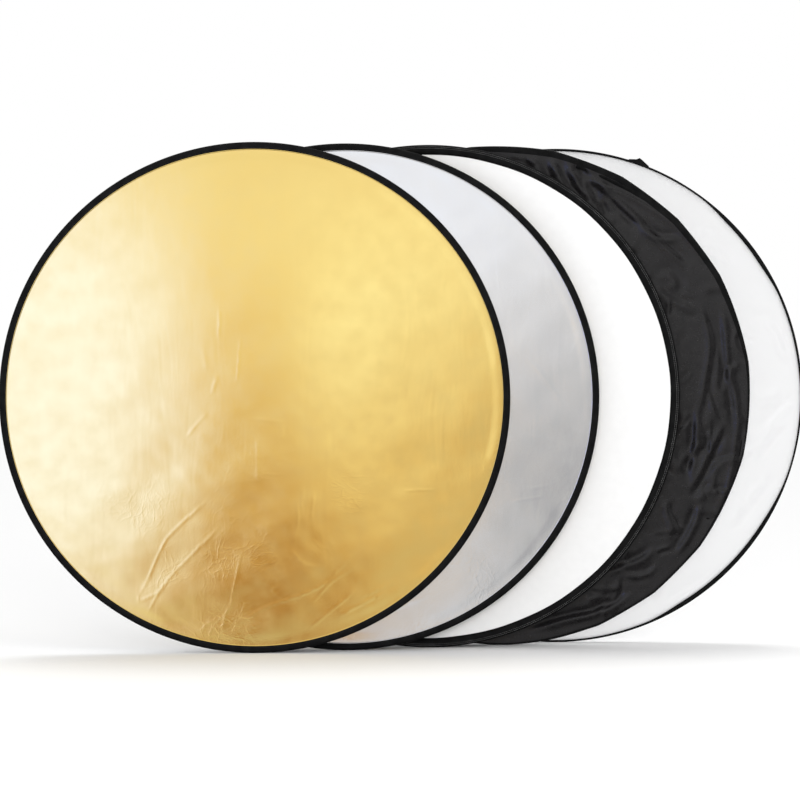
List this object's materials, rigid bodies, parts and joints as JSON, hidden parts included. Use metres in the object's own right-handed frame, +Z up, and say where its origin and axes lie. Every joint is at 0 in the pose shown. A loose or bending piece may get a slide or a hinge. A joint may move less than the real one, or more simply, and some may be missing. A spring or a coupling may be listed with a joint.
{
  "type": "collapsible photo reflector set",
  "caption": "Row of round spring-framed photo reflectors with gold, silver, white and black zip-on cover faces, and the bare translucent diffuser.",
  "frame": {"origin": "floor height, under the middle of the row's bounding box", "axes": "+X to the right along the fan, +Y to the back through the discs' thickness, +Z up; every front faces -Y"},
  "size_m": [1.7574, 0.211, 1.1],
  "materials": {
    "spring_steel": "blued spring steel band, satin",
    "crimp_metal": "dull crimped sleeve",
    "binding_tape": "woven black polyester tape, matt",
    "casing_tape": "thin black nylon casing, matt",
    "zip_tape": "black woven zip tape with coil teeth",
    "zip_metal": "black enamel",
    "diffuser_nylon": "white translucent ripstop nylon, low sheen",
    "gold_foil": "creased metallic gold foil laminate, satin",
    "silver_foil": "metallic silver foil laminate, satin",
    "white_nylon": "plain white nylon, matt",
    "black_nylon": "slack black nylon with a slight sheen"
  },
  "bodies": {
    "gold_left": {"gold_hoop_left": "spring_steel", "gold_casing_left": "casing_tape", "gold_membrane_left": "diffuser_nylon", "gold_ferrule": "crimp_metal", "gold_binding_left": "binding_tape", "gold_front_panel_left": "gold_foil", "gold_back_panel_left": "silver_foil", "gold_zip_outer": "zip_tape", "gold_zip_inner": "zip_tape"},
    "gold_right": {"gold_hoop_right": "spring_steel", "gold_casing_right": "casing_tape", "gold_membrane_right": "diffuser_nylon", "gold_binding_right": "binding_tape", "gold_front_panel_right": "gold_foil", "gold_back_panel_right": "silver_foil"},
    "gold_slider": {"gold_zip_slider": "zip_metal"},
    "gold_pull": {"gold_zip_pull": "zip_metal"},
    "silver_disc": {"silver_hoop": "spring_steel", "silver_casing": "casing_tape", "silver_membrane": "diffuser_nylon", "silver_ferrule": "crimp_metal", "silver_binding": "binding_tape", "silver_front_panel": "silver_foil", "silver_back_panel": "gold_foil", "silver_zip_outer": "zip_tape", "silver_zip_inner": "zip_tape"},
    "silver_slider": {"silver_zip_slider": "zip_metal"},
    "silver_pull": {"silver_zip_pull": "zip_metal"},
    "white_disc": {"white_hoop": "spring_steel", "white_casing": "casing_tape", "white_membrane": "diffuser_nylon", "white_ferrule": "crimp_metal", "white_binding": "binding_tape", "white_front_panel": "white_nylon", "white_back_panel": "black_nylon", "white_zip_outer": "zip_tape", "white_zip_inner": "zip_tape"},
    "white_slider": {"white_zip_slider": "zip_metal"},
    "white_pull": {"white_zip_pull": "zip_metal"},
    "black_disc": {"black_hoop": "spring_steel", "black_casing": "casing_tape", "black_membrane": "diffuser_nylon", "black_ferrule": "crimp_metal", "black_binding": "binding_tape", "black_front_panel": "black_nylon", "black_back_panel": "white_nylon", "black_zip_outer": "zip_tape", "black_zip_inner": "zip_tape"},
    "black_slider": {"black_zip_slider": "zip_metal"},
    "black_pull": {"black_zip_pull": "zip_metal"},
    "diffuser_left": {"diffuser_hoop_left": "spring_steel", "diffuser_casing_left": "casing_tape", "diffuser_membrane_left": "diffuser_nylon"},
    "diffuser_right": {"diffuser_hoop_right": "spring_steel", "diffuser_casing_right": "casing_tape", "diffuser_membrane_right": "diffuser_nylon", "diffuser_ferrule": "crimp_metal", "diffuser_seam_tab": "casing_tape"}
  },
  "joints": [
    {"name": "gold_fold", "type": "hinge", "parent": "gold_left", "child": "gold_right", "pos_m": [-0.32865, -0.10555, 0.55], "axis": [0, 0, -1], "range_deg": [0, 90], "stiffness_Nm_per_rad": 2},
    {"name": "silver_place", "type": "slide", "parent": "gold_left", "child": "silver_disc", "axis": [1, 0, 0], "range_m": [-0.195, 0.2]},
    {"name": "white_place", "type": "slide", "parent": "gold_left", "child": "white_disc", "axis": [1, 0, 0], "range_m": [-0.375, 0.2]},
    {"name": "black_place", "type": "slide", "parent": "gold_left", "child": "black_disc", "axis": [1, 0, 0], "range_m": [-0.534, 0.2]},
    {"name": "diffuser_place", "type": "slide", "parent": "gold_left", "child": "diffuser_left", "axis": [1, 0, 0], "range_m": [-0.6585, 0.2]},
    {"name": "diffuser_fold", "type": "hinge", "parent": "diffuser_left", "child": "diffuser_right", "pos_m": [0.32985, 0.10555, 0.5488], "axis": [0, 0, 1], "range_deg": [0, 90], "stiffness_Nm_per_rad": 1},
    {"name": "gold_zip_run", "type": "hinge", "parent": "gold_left", "child": "gold_slider", "pos_m": [-0.32865, -0.09905, 0.55], "axis": [0, -1, 0], "range_deg": [0, 150]},
    {"name": "gold_pull_swing", "type": "hinge", "parent": "gold_slider", "child": "gold_pull", "pos_m": [-0.46454, -0.08805, 1.05716], "axis": [0.2588, 0, -0.9659], "range_deg": [0, 170]},
    {"name": "silver_zip_run", "type": "hinge", "parent": "silver_disc", "child": "silver_slider", "pos_m": [-0.13365, -0.04905, 0.55], "axis": [0, -1, 0], "range_deg": [0, 150]},
    {"name": "silver_pull_swing", "type": "hinge", "parent": "silver_slider", "child": "silver_pull", "pos_m": [-0.26954, -0.03805, 1.05716], "axis": [0.2588, 0, -0.9659], "range_deg": [0, 170]},
    {"name": "white_zip_run", "type": "hinge", "parent": "white_disc", "child": "white_slider", "pos_m": [0.04635, 0.00095, 0.55], "axis": [0, -1, 0], "range_deg": [0, 150]},
    {"name": "white_pull_swing", "type": "hinge", "parent": "white_slider", "child": "white_pull", "pos_m": [-0.08799, 0.01195, 1.05136], "axis": [0.2588, 0, -0.9659], "range_deg": [0, 170]},
    {"name": "black_zip_run", "type": "hinge", "parent": "black_disc", "child": "black_slider", "pos_m": [0.20535, 0.05095, 0.55], "axis": [0, -1, 0], "range_deg": [0, 150]},
    {"name": "black_pull_swing", "type": "hinge", "parent": "black_slider", "child": "black_pull", "pos_m": [0.07101, 0.06195, 1.05136], "axis": [0.2588, 0, -0.9659], "range_deg": [0, 170]}
  ]
}
